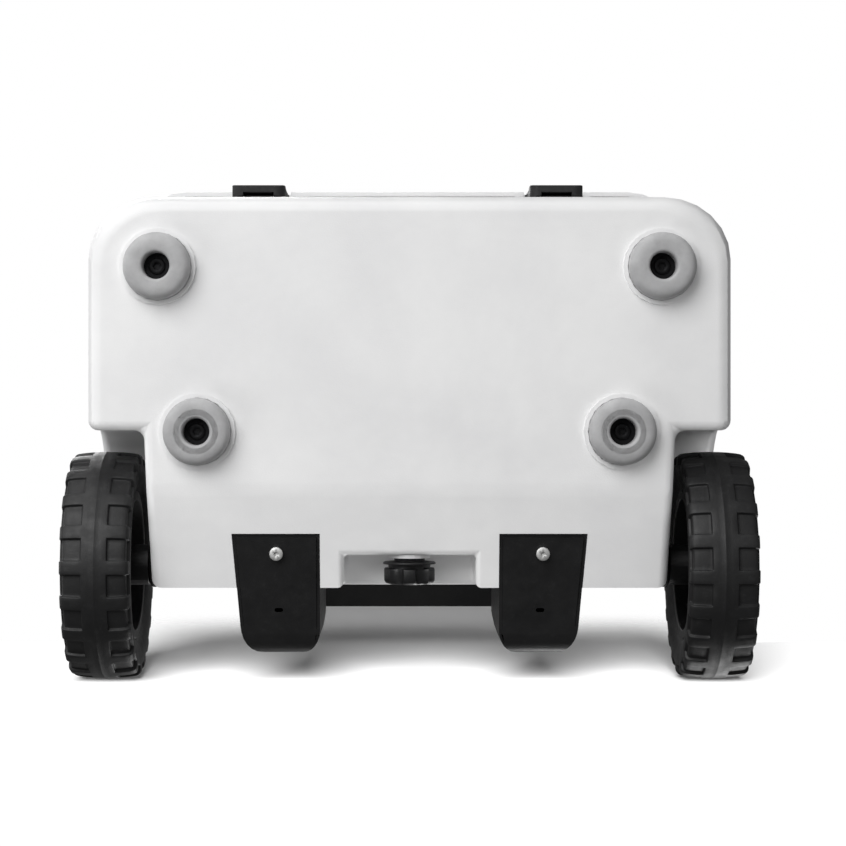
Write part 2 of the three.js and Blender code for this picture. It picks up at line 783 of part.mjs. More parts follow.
function makeKeeper() {
  const side = polygon([
    [latchPocketY - gap, keeperZ], [latchPocketY - gap, keeperZ + keeperHeight],
    [latchPocketY - gap - 2, keeperZ + keeperHeight],
    [latchPocketY - keeperThickness + 0.4, keeperZ + keeperHeight - 4],
    [latchPocketY - keeperThickness + 0.4, keeperZ + 1],
    [latchPocketY - keeperThickness + 1.4, keeperZ],
  ]);
  return prismX(side, -keeperHalfWidth, keeperHalfWidth);
}

// --- Feet ------------------------------------------------------------------------------------

const footTop = groundClearance - gap;
const footWeb = 5.5; // of rubber under the screw's head

function makeFoot() {
  const r = footRadius;
  return turnedZ([
    [footScrewRadius + gap, footTop], [r, footTop], [r, 4], [r - 1.3, 1.2], [r - 4, 0],
    [footHoleRadius + 7, 0], [footHoleRadius + 4, 0.8], [footHoleRadius, 4],
    [footHoleRadius, footTop - footWeb], [footScrewRadius + gap, footTop - footWeb],
    [footScrewRadius + gap, footTop],
  ], 20);
}

function makeFootScrew() {
  const seat = footTop - footWeb - gap;
  const head = turnedZ([
    [0, seat - 3.6], [footScrewHeadRadius - 1, seat - 3.6], [footScrewHeadRadius, seat - 2.4],
    [footScrewHeadRadius, seat], [footScrewRadius, seat], [footScrewRadius, groundClearance + 16],
    [0, groundClearance + 17],
  ], 16);
  const socket = prismZ(hexagon(3), seat - 10, seat - 1.4);
  return cut(head, socket);
}

function hexagon(radius) {
  const corners = [];
  for (let i = 0; i < 6; i += 1) {
    corners.push([radius * Math.cos(i * Math.PI / 3), radius * Math.sin(i * Math.PI / 3)]);
  }
  return polygon(corners);
}

// --- Wheels: drawn about their own middle, with +X outwards -----------------------------------

const wheelSegments = 36;
const wallTaper = (wellHalfFront - wellHalfRear) / wellLength;
const plateInner = -wheelWidth / 2 - wheelSideGap + axlePlateRadius * wallTaper + gap;
const bossInner = plateInner + axlePlateThickness + gap;
const bossOuter = 11;
const axleHeadThickness = 4;
const capInner = spokeHalfWidth + gap;
const capOuter = spokeHalfWidth + 11;

function makeTyre() {
  const r = wheelRadius;
  const half = wheelWidth / 2;
  const bead = rimRadius + gap;
  const side = [
    [bead, rimHalfWidth - 2], [bead + 4, half - 3], [r - 17, half], [r - 7.5, half - 1.2],
    [r - 2, half - 6.5], [r, half - 13],
  ];
  const other = side.map(([radius, along]) => [radius, -along]).reverse();
  return turnedX([...side, ...other, side[0]].reverse(), wheelSegments);
}

function makeWheelHub() {
  const band = turnedX(ring(rimRadius - rimWall, rimRadius, -rimHalfWidth, rimHalfWidth), wheelSegments);
  const boss = turnedX(ring(bushRadius + gap, bossRadius, bossInner, bossOuter), 24);
  const spoke = box(-spokeHalfWidth, spokeHalfWidth, -spokeThickness / 2, spokeThickness / 2,
    bossRadius - 2, rimRadius - rimWall + 2);
  const spokes = [];
  for (let i = 0; i < spokeCount; i += 1) {
    spokes.push(solid(geometryOf(spoke).rotateX(i * 2 * Math.PI / spokeCount)));
  }
  return join(band, boss, ...spokes);
}

function makeHubCap() {
  return turnedX([
    [0, capOuter], [capRadius - 6, capOuter - 0.8], [capRadius, capOuter - 4], [capRadius, capInner],
    [capRadius - 4, capInner], [capRadius - 4, capOuter - 3.5], [0, capOuter - 3.5],
  ], 28);
}

function makeAxleBush() {
  return turnedX(ring(axleRadius + gap, bushRadius, bossInner + gap, bossOuter - gap), 24);
}

function makeAxle() {
  const inner = wellWallAtAxle - axleBossReach + 5 - wheelX;
  const headStart = bossOuter + gap;
  return turnedX([
    [0, inner], [axleRadius - 1, inner], [axleRadius, inner + 1], [axleRadius, headStart],
    [axleHeadRadius, headStart], [axleHeadRadius, headStart + axleHeadThickness - 1],
    [axleHeadRadius - 1.5, headStart + axleHeadThickness], [0, headStart + axleHeadThickness],
  ], 24);
}

function makeAxlePlate() {
  return turnedX(ring(axleRadius + gap, axlePlateRadius, plateInner, plateInner + axlePlateThickness), 28);
}

// --- Drain -----------------------------------------------------------------------------------

const drainInnerEnd = cavityLevel(drainHeight, 0).rear + 1;
const flangeFace = notchY + gap + drainFlangeThickness;
const plugSeat = flangeFace + 2 * gap + drainGasketThickness;

function makeDrainBushing() {
  const tube = drainBore + drainTubeWall;
  return turnedY([
    [drainBore, drainInnerEnd], [tube, drainInnerEnd], [tube, notchY + gap],
    [drainFlangeRadius, notchY + gap], [drainFlangeRadius, flangeFace],
    [drainBore, flangeFace], [drainBore, drainInnerEnd],
  ], 24);
}

function makeDrainGasket() {
  return turnedY(ring(drainBore, drainBore + 5, flangeFace + gap, plugSeat - gap), 24);
}

function makeDrainPlug() {
  const points = [];
  const steps = plugLobes * 6;
  for (let i = 0; i < steps; i += 1) {
    const angle = i * 2 * Math.PI / steps;
    const radius = plugRadius - plugLobeDepth * (1 - Math.cos(plugLobes * angle)) / 2;
    points.push([radius * Math.cos(angle), radius * Math.sin(angle)]);
  }
  const headStart = plugSeat + 4;
  const head = prismY(polygon(points), headStart, headStart + plugHeadLength);
  const stem = turnedY([
    [0, drainInnerEnd + 2], [drainBore - gap, drainInnerEnd + 2], [drainBore - gap, plugSeat],
    [13, plugSeat], [13, headStart + 1], [0, headStart + 1],
  ], 24);
  return join(stem, head);
}

// --- Pull handle -----------------------------------------------------------------------------

function tubeOutline(inset) {
  const halfX = tubeWidth / 2 - inset;
  const halfY = tubeDepth / 2 - inset;
  return roundedRectangle(-halfX, halfX, -halfY, halfY, tubeCorner - inset);
}

function tubeBar(inset, from, to) {
  return prismZ(tubeOutline(inset), from, to, 2);
}

function makeTube(stage, from, to) {
  const inset = stage * (tubeWall + gap);
  return cut(tubeBar(inset, from, to), tubeBar(inset + tubeWall, from - 1, to + 1));
}

function makeBoot() {
  const plate = bootPlateThickness - bootProud;
  const low = (y) => slopeAt(y) - bootProud;
  const side = new THREE.Shape();
  side.moveTo(bootFrontY, low(bootFrontY));
  side.lineTo(bootRearY - 16, low(bootRearY - 16));
  side.quadraticCurveTo(bootRearY - 1, low(bootRearY) - 1, bootRearY, low(bootRearY) + 14);
  side.lineTo(bootRearTopY, bootTop);
  side.lineTo(rearFaceAt(bootTop) + gap, bootTop);
  const corner = rearFaceAt(slopeAt(bodyRearBottom)) + gap;
  side.lineTo(corner, slopeAt(corner) + plate);
  side.lineTo(bootFrontY, slopeAt(bootFrontY) + plate);
  const form = prismX(side, 0, bodyHalfTop, 5).intersect(prismZ(bootOutline(0), 0, bootTop + 10, 3));
  const socket = moved(tubeBar(-gap, tubeBottom - gap, bootTop + 10), tubeX, tubeY, 0);
  const slot = prismZ(roundedRectangle(-weepSlotLength / 2, weepSlotLength / 2,
    -weepSlotWidth / 2, weepSlotWidth / 2, weepSlotWidth / 2 - 0.1), 0, tubeBottom + 5);
  return cut(form, socket, moved(slot, tubeX - 1.5, tubeY + 1.5, 0), bootScrewHole());
}

// The head is below and the shank points up.
function makeBootScrew() {
  const r = bootScrewHeadRadius;
  const low = -bootProud - slopeRise * r - gap;
  const screw = turnedZ([
    [0, low - 3], [r * 0.6, low - 2.6], [r, low - 0.8], [r, low], [bootScrewRadius, low],
    [bootScrewRadius, 9], [0, 10],
  ], 20);
  return cut(screw, prismZ(hexagon(1.8), low - 6, low - 1.2));
}

function makeHandleHousing() {
  const front = rearFaceAt(housingTop) + gap;
  const ends = bothSides(() => prismZ(roundedRectangle(housingInnerX, housingHalfWidth, front, housingRear,
    [1, 1, 10, 1]), housingBottom, housingTop));
  const bar = box(-housingInnerX - 1, housingInnerX + 1, front, housingRear, housingBottom, housingBarTop);
  const bores = bothSides(() => moved(tubeBar(-gap, housingBottom - 5, housingTop - 3), tubeX, tubeY, 0));
  const mouths = bothSides(() => moved(tubeBar(tubeWall, housingBottom - 5, housingTop + 5), tubeX, tubeY, 0));
  return cut(join(bar, ...ends), ...bores, ...mouths, ...housingScrewHoles(), ...housingScrewSeats());
}

const housingScrewSeatDepth = 16;

function housingScrewSeats() {
  const z = (housingBottom + housingBarTop) / 2;
  const seat = turnedY(rod(6, housingRear - housingScrewSeatDepth, housingRear + 5), 16);
  return bothSides(() => moved(seat, housingScrewX, 0, z));
}

function makeHousingScrew() {
  const seat = housingRear - housingScrewSeatDepth + gap;
  return turnedY([
    [0, bodyRearTop - 11], [housingScrewRadius, bodyRearTop - 10], [housingScrewRadius, seat],
    [4.6, seat], [4.6, seat + 2], [2.8, seat + 3.2], [0, seat + 3.4],
  ], 16);
}

const innerTubeTop = gripTop - 6;

function makeGrip() {
  const front = rearFaceAt(gripTop) + 1;
  const bar = prismX(roundedRectangle(front, housingRear, gripBarBottom, gripTop, [6, 6, 8, 8]),
    -housingHalfWidth, housingHalfWidth);
  const ends = bothSides(() => prismX(roundedRectangle(front, housingRear, gripBottom, gripTop, [2, 2, 8, 8]),
    housingInnerX, housingHalfWidth));
  const plan = prismZ(roundedRectangle(-housingHalfWidth, housingHalfWidth, front - 1, housingRear,
    [1, 1, 10, 10]), 0, gripTop + 5);
  const sockets = bothSides(() => moved(tubeBar(2 * (tubeWall + gap) - gap, gripBottom - 5, innerTubeTop + gap),
    tubeX, tubeY, 0));
  return cut(join(bar, ...ends).intersect(plan), ...sockets, ...buttonWell());
}

function buttonPlan(grow) {
  const halfX = buttonLength / 2 + grow;
  const halfY = buttonWidth / 2 + grow;
  return roundedRectangle(-halfX, halfX, gripMiddleY - halfY, gripMiddleY + halfY, 5);
}

const gripMiddleY = (rearFaceAt(gripTop) + 1 + housingRear) / 2;
const buttonBottom = gripTop + buttonProud - buttonHeight;
const springBottom = buttonBottom - buttonTravel - 3;

function buttonWell() {
  return [prismZ(buttonPlan(gap), springBottom, gripTop + 5)];
}

function makeReleaseButton() {
  return prismZ(buttonPlan(0), buttonBottom, gripTop + buttonProud);
}

class Coil extends THREE.Curve {
  constructor(radius, height, turns) {
    super();
    this.radius = radius;
    this.height = height;
    this.turns = turns;
  }

  getPoint(t, target = new THREE.Vector3()) {
    const angle = t * this.turns * 2 * Math.PI;
    return target.set(this.radius * Math.cos(angle), this.radius * Math.sin(angle), t * this.height);
  }
}

function makeButtonSpring() {
  const low = springBottom + springWire + gap;
  const high = buttonBottom - springWire - gap;
  const wire = new THREE.Shape();
  wire.absarc(0, 0, springWire, 0, 2 * Math.PI);
  const coil = new THREE.ExtrudeGeometry(wire, {
    steps: springTurns * 10,
    curveSegments: 3,
    extrudePath: new Coil(springRadius, high - low, springTurns),
  });
  return solid(coil.translate(0, gripMiddleY, low));
}

// --- Materials -------------------------------------------------------------------------------

function finish(color, roughness, metalness = 0) {
  return new THREE.MeshStandardMaterial({ color, roughness, metalness });
}

const whitePlastic = finish(0xf0f0ee, 0.45);
const linerPlastic = finish(0xe9eaea, 0.4);
const foam = finish(0xe6dcb8, 0.9);
const blackPlastic = finish(0x17181a, 0.42);
const blackRubber = finish(0x1c1c1d, 0.75);
const tyreRubber = finish(0x141415, 0.6);
const greyRubber = finish(0x9a9b9b, 0.7);
const sealRubber = finish(0x3a3b3c, 0.8);
const steel = finish(0xb9babb, 0.3, 1);
const blackAluminium = finish(0x1f2022, 0.35, 0.8);
const bareAluminium = finish(0x8d8f92, 0.35, 0.9);
const bushPlastic = finish(0xd8d6cc, 0.5);

// --- Assembly --------------------------------------------------------------------------------

const cooler = new THREE.Group();

function add(name, piece, material, x = 0, y = 0, z = 0, turn = 0) {
  const mesh = new THREE.Mesh(geometryOf(piece), material);
  mesh.name = name;
  mesh.position.set(x, y, z);
  mesh.rotation.z = turn;
  cooler.add(mesh);
}

add('outer_shell', makeOuterShell(), whitePlastic);
add('liner', makeLiner(), linerPlastic);
add('foam_core', makeFoamCore(), foam);
add('lid_outer', makeLidOuter(), whitePlastic);
add('lid_inner', makeLidInner(), linerPlastic);
add('lid_foam', makeLidFoam(), foam);
add('lid_gasket', makeLidGasket(), sealRubber);

const foot = makeFoot();
const footScrew = makeFootScrew();
for (const [name, [x, y]] of Object.entries(footPlaces)) {
  add(name, foot, greyRubber, x, y);
  add(name.replace('foot', 'foot_screw'), footScrew, steel, x, y);
}

const latch = makeLatch();
const latchPin = turnedX(rod(latchPinRadius, -latchPocketHalf - latchPinGrip, latchPocketHalf + latchPinGrip), 16);
const keeper = makeKeeper();
const tyre = makeTyre();
const wheelHub = makeWheelHub();
const hubCap = makeHubCap();
const axleBush = makeAxleBush();
const axle = makeAxle();
const axlePlate = makeAxlePlate();
const boot = makeBoot();
const bootScrew = makeBootScrew();
const housingScrew = makeHousingScrew();
const outerTube = makeTube(0, tubeBottom, housingTop - 3 - gap);
const middleTube = makeTube(1, tubeBottom + 6, housingTop + 1);
const innerTube = makeTube(2, tubeBottom + 12, innerTubeTop);
const hingePin = turnedX(rod(hingePinRadius, knuckleStart - 1, knuckleEnd + 1), 16);
const hingeBlock = makeHingeBlock();
const lidHingeBlock = makeLidHingeBlock();

for (const [side, sign] of [['left', -1], ['right', 1]]) {
  const turn = sign > 0 ? 0 : Math.PI;
  add(`latch_${side}`, latch, blackRubber, sign * latchX, latchPivotY, latchPivotZ);
  add(`latch_pin_${side}`, latchPin, steel, sign * latchX, latchPivotY, latchPivotZ);
  add(`keeper_${side}`, keeper, blackPlastic, sign * latchX);
  add(`hinge_pin_${side}`, hingePin, steel, 0, hingeY, hingeZ, turn);
  add(`hinge_block_${side}`, sign > 0 ? hingeBlock : mirrored(hingeBlock), whitePlastic);
  add(`lid_hinge_block_${side}`, sign > 0 ? lidHingeBlock : mirrored(lidHingeBlock), whitePlastic);
  for (const [name, piece, material] of [
    ['tyre', tyre, tyreRubber], ['wheel_hub', wheelHub, blackPlastic], ['hub_cap', hubCap, blackPlastic],
    ['axle_bush', axleBush, bushPlastic], ['axle', axle, steel], ['axle_plate', axlePlate, blackPlastic],
  ]) {
    add(`${name}_${side}`, piece, material, sign * wheelX, wheelY, wheelRadius, turn);
  }
  add(`handle_boot_${side}`, sign > 0 ? boot : mirrored(boot), blackPlastic);
  add(`boot_screw_${side}`, bootScrew, steel, sign * tubeX, bootScrewY, slopeAt(bootScrewY));
  add(`outer_tube_${side}`, outerTube, blackAluminium, sign * tubeX, tubeY);
  add(`middle_tube_${side}`, middleTube, bareAluminium, sign * tubeX, tubeY);
  add(`inner_tube_${side}`, innerTube, bareAluminium, sign * tubeX, tubeY);
  add(`housing_screw_${side}`, housingScrew, steel, sign * housingScrewX, 0, (housingBottom + housingBarTop) / 2);
}

add('handle_housing', makeHandleHousing(), blackPlastic);
add('handle_grip', makeGrip(), blackPlastic);
add('release_button', makeReleaseButton(), blackPlastic);
add('button_spring', makeButtonSpring(), steel);
add('drain_bushing', makeDrainBushing(), whitePlastic, 0, 0, drainHeight);
add('drain_gasket', makeDrainGasket(), sealRubber, 0, 0, drainHeight);
add('drain_plug', makeDrainPlug(), blackPlastic, 0, 0, drainHeight);

export default cooler;
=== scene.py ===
import bpy
import bmesh
import functools
import json
import math
from mathutils import Matrix, Vector

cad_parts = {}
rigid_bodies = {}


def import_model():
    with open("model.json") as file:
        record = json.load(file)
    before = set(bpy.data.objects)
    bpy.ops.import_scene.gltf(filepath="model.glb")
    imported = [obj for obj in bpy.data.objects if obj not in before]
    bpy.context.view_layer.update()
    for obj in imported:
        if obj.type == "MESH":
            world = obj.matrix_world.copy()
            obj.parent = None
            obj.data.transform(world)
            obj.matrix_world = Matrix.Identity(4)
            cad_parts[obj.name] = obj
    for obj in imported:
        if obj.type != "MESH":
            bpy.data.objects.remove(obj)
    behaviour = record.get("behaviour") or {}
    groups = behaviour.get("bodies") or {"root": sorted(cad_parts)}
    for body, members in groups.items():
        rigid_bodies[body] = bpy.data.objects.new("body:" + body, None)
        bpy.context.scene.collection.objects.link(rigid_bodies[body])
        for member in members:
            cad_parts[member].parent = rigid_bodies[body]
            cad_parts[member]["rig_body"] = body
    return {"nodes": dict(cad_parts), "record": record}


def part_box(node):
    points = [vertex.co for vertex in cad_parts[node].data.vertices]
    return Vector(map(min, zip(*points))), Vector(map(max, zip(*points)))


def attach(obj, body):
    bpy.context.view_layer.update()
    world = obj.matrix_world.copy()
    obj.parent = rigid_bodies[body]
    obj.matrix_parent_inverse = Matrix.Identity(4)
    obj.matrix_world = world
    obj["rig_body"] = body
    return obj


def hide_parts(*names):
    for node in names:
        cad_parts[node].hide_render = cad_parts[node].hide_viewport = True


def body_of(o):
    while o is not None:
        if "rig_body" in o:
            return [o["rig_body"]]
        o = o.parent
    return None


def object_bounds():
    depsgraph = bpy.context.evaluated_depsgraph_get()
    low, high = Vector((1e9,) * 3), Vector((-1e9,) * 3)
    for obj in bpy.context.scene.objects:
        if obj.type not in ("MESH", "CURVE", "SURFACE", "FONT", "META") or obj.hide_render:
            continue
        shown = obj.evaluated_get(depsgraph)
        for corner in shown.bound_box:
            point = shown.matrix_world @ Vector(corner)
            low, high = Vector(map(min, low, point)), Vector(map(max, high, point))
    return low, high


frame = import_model()
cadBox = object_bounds()
nodes = frame["nodes"]
slotOf = {row["node"]: row["material_slot"] for row in frame["record"]["subparts"]}
bodyOf = {name: body_of(obj)[0] for name, obj in nodes.items()}
sides = {"left": -1, "right": 1}
mm = 0.001
mergeGap = 0.01 * mm
fineGap = 0.005 * mm
flatAngle = math.radians(0.6)
print("frame loaded:", len(nodes), "nodes")


# camera: it looks up at the underside, with the front of the cooler at the top of the picture
cameraSet = {
    "place": (-0.0096, 0.011, -1.770),
    "lens": 94.4,
    "sensor": 36.0,
    "shiftX": 0.0299,
    "nearest": 0.05,
    "farthest": 50,
}


def makeCamera(s):
    data = bpy.data.cameras.new("camera")
    data.lens = s["lens"]
    data.sensor_width = s["sensor"]
    data.shift_x = s["shiftX"]
    data.clip_start = s["nearest"]
    data.clip_end = s["farthest"]
    camera = bpy.data.objects.new("camera", data)
    camera.location = s["place"]
    camera.rotation_euler = (math.pi, 0, 0)
    bpy.context.scene.collection.objects.link(camera)
    bpy.context.scene.camera = camera


makeCamera(cameraSet)


# studio: a white sky, soft lights, the ground it stands on and the floor it lies on
studio = {
    "skyLight": 0.16,
    "groundHalf": 3.0,
    "floorHalfWidth": 1.6,
    "floorLow": -0.9,
    "floorHigh": 0.86,
    "farFrom": 0.4,
    "farHalfWidth": 0.3,
    "farDepth": 0.00085,
    "floorGap": 0.0004,
    "slatPitch": 0.008,
    "slatDepth": 0.0012,
    "floorWhite": 0.86,
    "fadeHigh": (0.38, 0.74),
    "fadeWide": (0.09, 0.19),
}

# each floor has a broad sun of its own: direction, strength, softness in degrees
floorSuns = {
    "restFloor": ((0.25, 1.0, 2.2), 4.2, 30),
    "groundFloor": ((0.45, 0.35, -1.0), 3.7, 32),
}

# each light: place, aim, size, power
studioLights = {
    "keyLight": ((-1.05, -1.45, -1.85), (0, 0, 0.1), 2.3, 60),
    "fillLight": ((1.5, -0.7, -1.9), (0, 0, 0.1), 1.4, 1.5),
    "frontLight": ((-0.5, -2.4, 0.1), (0, 0, 0.2), 1.2, 13),
    "rimLight": ((-1.9, -0.2, 0.5), (0, 0, 0.25), 1.0, 9),
    "topLight": ((-0.7, -0.9, 2.3), (0, 0, 0.3), 1.4, 42),
    "backLight": ((0.9, 2.2, 1.6), (0, 0, 0.3), 1.4, 30),
}

# light thrown back by the white floor, onto the white shell only
bounceLights = {
    "bounceLeft": ((-1.4, 0.7, -0.8), (0, 0.1, 0.1), 0.8, 5),
    "bounceRight": ((1.4, 0.7, -0.8), (0, 0.1, 0.1), 0.8, 2.5),
    "bounceMiddle": ((0.0, 1.3, -0.6), (0, 0.1, 0.1), 0.5, 1.5),
}


def makeSky(s):
    world = bpy.data.worlds.new("sky")
    world.use_nodes = True
    tree = world.node_tree
    back = tree.nodes["Background"]
    back.inputs["Color"].default_value = (1, 1, 1, 1)
    back.inputs["Strength"].default_value = 1.0
    light = tree.nodes.new("ShaderNodeBackground")
    light.inputs["Color"].default_value = (1, 1, 1, 1)
    light.inputs["Strength"].default_value = s["skyLight"]
    path = tree.nodes.new("ShaderNodeLightPath")
    mix = tree.nodes.new("ShaderNodeMixShader")
    tree.links.new(path.outputs["Is Camera Ray"], mix.inputs["Fac"])
    tree.links.new(light.outputs[0], mix.inputs[1])
    tree.links.new(back.outputs[0], mix.inputs[2])
    tree.links.new(mix.outputs[0], tree.nodes["World Output"].inputs["Surface"])
    bpy.context.scene.world = world
    bpy.context.scene.view_settings.view_transform = "Standard"


def fadeNode(tree, value, limits):
    node = tree.nodes.new("ShaderNodeMapRange")
    node.interpolation_type = "SMOOTHSTEP"
    node.inputs["From Min"].default_value = limits[0]
    node.inputs["From Max"].default_value = limits[1]
    tree.links.new(value, node.inputs["Value"])
    return node.outputs["Result"]


def mathNode(tree, operation, *values):
    node = tree.nodes.new("ShaderNodeMath")
    node.operation = operation
    for value, socket in zip(values, node.inputs):
        tree.links.new(value, socket)
    return node.outputs[0]


def oneSided(name, s, faded=False):
    # white on its front and clear from behind, so a floor never hides the object
    mat = bpy.data.materials.new(name)
    mat.use_nodes = True
    tree = mat.node_tree
    tree.nodes.clear()
    out = tree.nodes.new("ShaderNodeOutputMaterial")
    face = tree.nodes.new("ShaderNodeBsdfDiffuse")
    face.inputs["Color"].default_value = (s["floorWhite"], s["floorWhite"], s["floorWhite"], 1)
    clear = tree.nodes.new("ShaderNodeBsdfTransparent")
    clearness = tree.nodes.new("ShaderNodeNewGeometry").outputs["Backfacing"]
    if faded:
        # the floor clears towards its far end, on both sides of the object
        spot = tree.nodes.new("ShaderNodeSeparateXYZ")
        tree.links.new(tree.nodes.new("ShaderNodeTexCoord").outputs["Object"], spot.inputs[0])
        aside = fadeNode(tree, mathNode(tree, "ABSOLUTE", spot.outputs["X"]), s["fadeWide"])
        above = fadeNode(tree, spot.outputs["Z"], s["fadeHigh"])
        clearness = mathNode(tree, "MAXIMUM", clearness, mathNode(tree, "MULTIPLY", aside, above))
    mix = tree.nodes.new("ShaderNodeMixShader")
    tree.links.new(clearness, mix.inputs["Fac"])
    tree.links.new(face.outputs[0], mix.inputs[1])
    tree.links.new(clear.outputs[0], mix.inputs[2])
    tree.links.new(mix.outputs[0], out.inputs["Surface"])
    return mat


def makeFloor(name, bm, mat):
    mesh = bpy.data.meshes.new(name)
    bm.to_mesh(mesh)
    bm.free()
    floor = bpy.data.objects.new(name, mesh)
    floor.data.materials.append(mat)
    bpy.context.scene.collection.objects.link(floor)
    floor.visible_shadow = False
    floor.visible_diffuse = False
    floor.visible_glossy = False
    return floor


def groundShape(s):
    bm = bmesh.new()
    bmesh.ops.create_grid(bm, x_segments=1, y_segments=1, size=s["groundHalf"])
    return bm


def slattedShape(s):
    # fine slats that face down: from below they close up into one white floor behind its back, and
    # from above they are clear; the far ones are smaller, because they show from low at the side
    bm = bmesh.new()
    low = cadBox[1][1] + s["floorGap"]
    steps = round((s["floorHigh"] - s["floorLow"]) / s["slatPitch"])
    for i in range(steps):
        z = s["floorLow"] + i * s["slatPitch"]
        far = z > s["farFrom"]
        halfWidth = s["farHalfWidth"] if far else s["floorHalfWidth"]
        depth = s["farDepth"] if far else s["slatDepth"]
        grid = bmesh.ops.create_grid(bm, x_segments=1, y_segments=1, size=1.0)["verts"]
        bmesh.ops.scale(bm, vec=(halfWidth, depth / 2, 1), verts=grid)
        bmesh.ops.translate(bm, vec=(0, low + depth / 2, z), verts=grid)
    bmesh.ops.reverse_faces(bm, faces=bm.faces)
    return bm


def makeSun(floor, direction, strength, softness):
    data = bpy.data.lights.new(floor.name + "Sun", "SUN")
    data.energy = strength
    data.angle = math.radians(softness)
    sun = bpy.data.objects.new(data.name, data)
    sun.rotation_euler = Vector(direction).to_track_quat("-Z", "Y").to_euler()
    bpy.context.scene.collection.objects.link(sun)
    only = bpy.data.collections.new(floor.name + "Only")
    only.objects.link(floor)
    sun.light_linking.receiver_collection = only


def makeLight(name, place, target, size, power):
    data = bpy.data.lights.new(name, "AREA")
    data.shape = "DISK"
    data.size = size
    data.energy = power
    light = bpy.data.objects.new(name, data)
    light.location = place
    aim = Vector(target) - Vector(place)
    light.rotation_euler = aim.to_track_quat("-Z", "Y").to_euler()
    light.visible_camera = False
    bpy.context.scene.collection.objects.link(light)
    return light


def makeStudio(s):
    makeSky(s)
    ground = makeFloor("groundFloor", groundShape(s), oneSided("groundWhite", s))
    rest = makeFloor("restFloor", slattedShape(s), oneSided("restWhite", s, faded=True))
    for floor in (ground, rest):
        makeSun(floor, *floorSuns[floor.name])
    # the other lights leave the floor it lies on alone
    others = bpy.data.collections.new("notRestFloor")
    others.objects.link(rest)
    others.collection_objects[0].light_linking.link_state = "EXCLUDE"
    for name, values in studioLights.items():
        makeLight(name, *values).light_linking.receiver_collection = others


def makeBounce(shell):
    only = bpy.data.collections.new("bounceOnly")
    only.objects.link(shell)
    for name, values in bounceLights.items():
        makeLight(name, *values).light_linking.receiver_collection = only


makeStudio(studio)
print("camera and studio made")


# finishes: one dictionary for each, and a few builders that share their nodes
finishes = {
    "white_shell": {
        "dark": (0.80, 0.80, 0.805), "light": (0.87, 0.87, 0.87), "patch": 9, "rough": (0.38, 0.52),
        "grain": 900, "grainDepth": 0.00009, "wave": 34, "waveDepth": 0.0006, "dust": 0.0,
    },
    "white_liner": {
        "dark": (0.80, 0.80, 0.80), "light": (0.86, 0.86, 0.855), "patch": 11, "rough": (0.34, 0.48),
        "grain": 900, "grainDepth": 0.00006, "wave": 40, "waveDepth": 0.0004, "dust": 0.0,
    },
    "foam": {
        "dark": (0.66, 0.55, 0.33), "light": (0.80, 0.70, 0.46), "patch": 60, "rough": (0.85, 0.98),
        "grain": 500, "grainDepth": 0.0006, "wave": 90, "waveDepth": 0.0008, "dust": 0.0,
    },
    "seal_rubber": {
        "dark": (0.020, 0.020, 0.021), "light": (0.034, 0.034, 0.035), "patch": 60, "rough": (0.55, 0.75),
        "grain": 1300, "grainDepth": 0.00006, "wave": 80, "waveDepth": 0.0001, "dust": 0.2,
    },
    "foot_rubber": {
        "dark": (0.44, 0.44, 0.445), "light": (0.52, 0.52, 0.525), "patch": 70, "rough": (0.5, 0.68),
        "grain": 1500, "grainDepth": 0.00011, "wave": 60, "waveDepth": 0.0002, "dust": 0.12,
    },
    "latch_rubber": {
        "dark": (0.004, 0.004, 0.0043), "light": (0.008, 0.008, 0.0084), "patch": 50, "rough": (0.62, 0.78),
        "grain": 1400, "grainDepth": 0.00008, "wave": 60, "waveDepth": 0.0002, "dust": 0.12,
    },
    "black_plastic": {
        "dark": (0.006, 0.006, 0.0065), "light": (0.011, 0.011, 0.0115), "patch": 40, "rough": (0.36, 0.5),
        "grain": 1600, "grainDepth": 0.00012, "wave": 50, "waveDepth": 0.0002, "dust": 0.15,
    },
    "tyre_rubber": {
        "dark": (0.006, 0.006, 0.0065), "light": (0.013, 0.013, 0.0135), "patch": 30, "rough": (0.48, 0.64),
        "grain": 1100, "grainDepth": 0.00016, "wave": 50, "waveDepth": 0.0003, "dust": 0.35,
    },
    "bush_plastic": {
        "dark": (0.50, 0.47, 0.38), "light": (0.60, 0.57, 0.48), "patch": 60, "rough": (0.35, 0.5),
        "grain": 1500, "grainDepth": 0.00005, "wave": 60, "waveDepth": 0.0001, "dust": 0.0,
    },
}
metals = {
    "steel": {
        "colour": (0.62, 0.62, 0.61), "rough": (0.22, 0.42), "grain": 700, "grainDepth": 0.00004,
        "stretch": 1.0, "blotch": 45,
    },
    "bare_aluminium": {
        "colour": (0.58, 0.585, 0.59), "rough": (0.28, 0.42), "grain": 1500, "grainDepth": 0.00003,
        "stretch": 0.02, "blotch": 45,
    },
    "pale_screw": {
        "colour": (0.74, 0.74, 0.73), "rough": (0.5, 0.62), "grain": 500, "grainDepth": 0.00001,
        "stretch": 1.0, "blotch": 45,
    },
    # near black: painted shade that makes the hole in each foot read deep and dark
    "painted_shade_screw": {
        "colour": (0.022, 0.022, 0.023), "rough": (0.45, 0.65), "grain": 700, "grainDepth": 0.00004,
        "stretch": 1.0, "blotch": 45,
    },
    "black_aluminium": {
        "colour": (0.030, 0.030, 0.032), "rough": (0.30, 0.45), "grain": 1400, "grainDepth": 0.00005,
        "stretch": 0.03, "blotch": 45,
    },
}
noiseSpread = (0.35, 0.65)   # the part of the noise that runs from the dark shade to the light one
glossSpread = (0.3, 0.7)
dustSpread = (0.56, 0.78)


